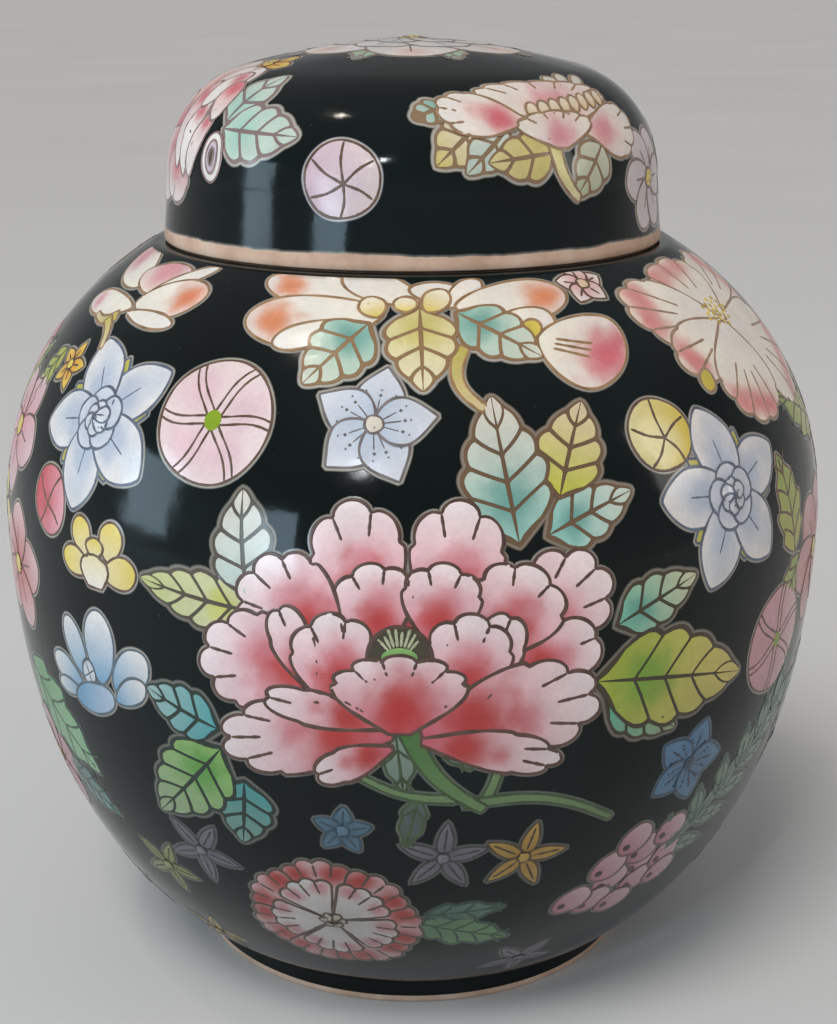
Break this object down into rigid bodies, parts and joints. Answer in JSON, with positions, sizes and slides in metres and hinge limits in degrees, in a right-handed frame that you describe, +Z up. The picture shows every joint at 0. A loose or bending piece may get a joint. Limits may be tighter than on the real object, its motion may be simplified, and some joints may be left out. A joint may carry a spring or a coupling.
{
  "type": "ginger jar",
  "caption": "Round-bellied porcelain jar with a short neck inside a loose cap-shaped lid that lifts off, on a plain foot ring.",
  "frame": {"origin": "centre of the plane that the foot ring rests on", "axes": "+Z up along the axis of the jar and the lid; -Y faces the viewer of the front"},
  "size_m": [0.1364, 0.1364, 0.1525],
  "materials": {
    "jar_porcelain": "glossy black enamel painted with flowers, white glaze inside, unglazed seat and foot",
    "lid_porcelain": "glossy black enamel painted with flowers, white glaze inside, unglazed tan rim"
  },
  "bodies": {
    "jar_body": {"jar": "jar_porcelain"},
    "lid_body": {"lid": "lid_porcelain"}
  },
  "joints": [
    {"name": "lid_lift", "type": "slide", "parent": "jar_body", "child": "lid_body", "axis": [0, 0, 1], "range_m": [0, 0.04]}
  ]
}
